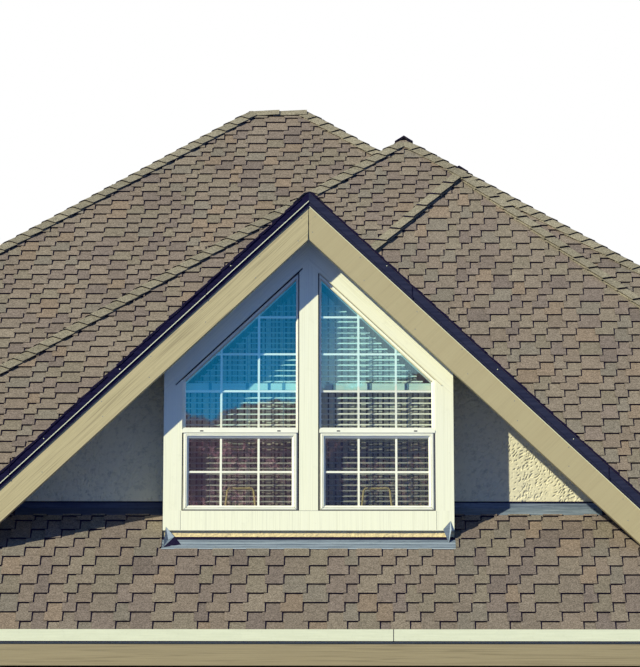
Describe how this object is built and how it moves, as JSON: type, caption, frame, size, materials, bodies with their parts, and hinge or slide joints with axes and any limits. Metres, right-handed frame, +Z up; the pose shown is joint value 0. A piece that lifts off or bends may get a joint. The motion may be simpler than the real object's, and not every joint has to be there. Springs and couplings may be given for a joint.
{
  "type": "gabled dormer window on a hipped roof",
  "caption": "Gabled dormer with a projecting window box under a steep shingled gable, on the two hipped roof sections it stands on, with eave, gutter and plain party walls.",
  "frame": {"origin": "middle of the underside, centred across the width and the depth", "axes": "+X to the right seen from the front, +Y back into the roof, +Z up; the window faces -Y"},
  "size_m": [6.9, 7.9, 7.718],
  "materials": {
    "shingle": "matte mineral granules",
    "stucco": "rough painted render",
    "framing_wood": "sawn softwood",
    "beige_board": "weathered satin paint",
    "white_board": "satin paint",
    "window_vinyl": "satin",
    "window_glass": "clear",
    "blind_slats": "satin",
    "handle_brass": "polished",
    "gutter_metal": "satin paint",
    "drip_metal": "satin paint",
    "flashing_metal": "weathered"
  },
  "bodies": {
    "root": {"main_roof_lower": "shingle", "main_roof_left": "shingle", "main_roof_right": "shingle", "main_roof_upper": "shingle", "hip_slope_left": "shingle", "hip_slope_right": "shingle", "hip_cap_left": "shingle", "hip_cap_right": "shingle", "main_ridge_cap": "shingle", "back_roof": "shingle", "back_hip_cap": "shingle", "dormer_roof_left": "shingle", "dormer_roof_right": "shingle", "dormer_ridge_cap": "shingle", "side_wall_left": "stucco", "side_wall_right": "stucco", "back_wall": "stucco", "eave_wall": "stucco", "front_wall_left": "stucco", "front_wall_right": "stucco", "box_base": "stucco", "attic_floor": "framing_wood", "inner_fascia": "framing_wood", "window_header_left": "framing_wood", "window_header_right": "framing_wood", "fascia": "beige_board", "barge_board_left": "beige_board", "barge_board_right": "beige_board", "eave_soffit": "white_board", "box_wall_left": "white_board", "box_wall_right": "white_board", "box_floor": "white_board", "window_post": "white_board", "window_apron": "white_board", "window_trim_left": "white_board", "window_trim_right": "white_board", "rake_trim_left": "white_board", "rake_trim_right": "white_board", "rake_soffit": "white_board", "window_frame_left": "window_vinyl", "window_frame_right": "window_vinyl", "sash_left": "window_vinyl", "sash_right": "window_vinyl", "upper_glass_left": "window_glass", "upper_glass_right": "window_glass", "lower_glass_left": "window_glass", "lower_glass_right": "window_glass", "blind_left": "blind_slats", "blind_right": "blind_slats", "sash_handle_left": "handle_brass", "sash_handle_right": "handle_brass", "gutter": "gutter_metal", "drip_edge_left": "drip_metal", "drip_edge_right": "drip_metal", "wall_flashing_left": "flashing_metal", "wall_flashing_right": "flashing_metal", "box_flashing_left": "flashing_metal", "box_flashing_right": "flashing_metal", "apron_flashing": "flashing_metal"}
  },
  "joints": []
}
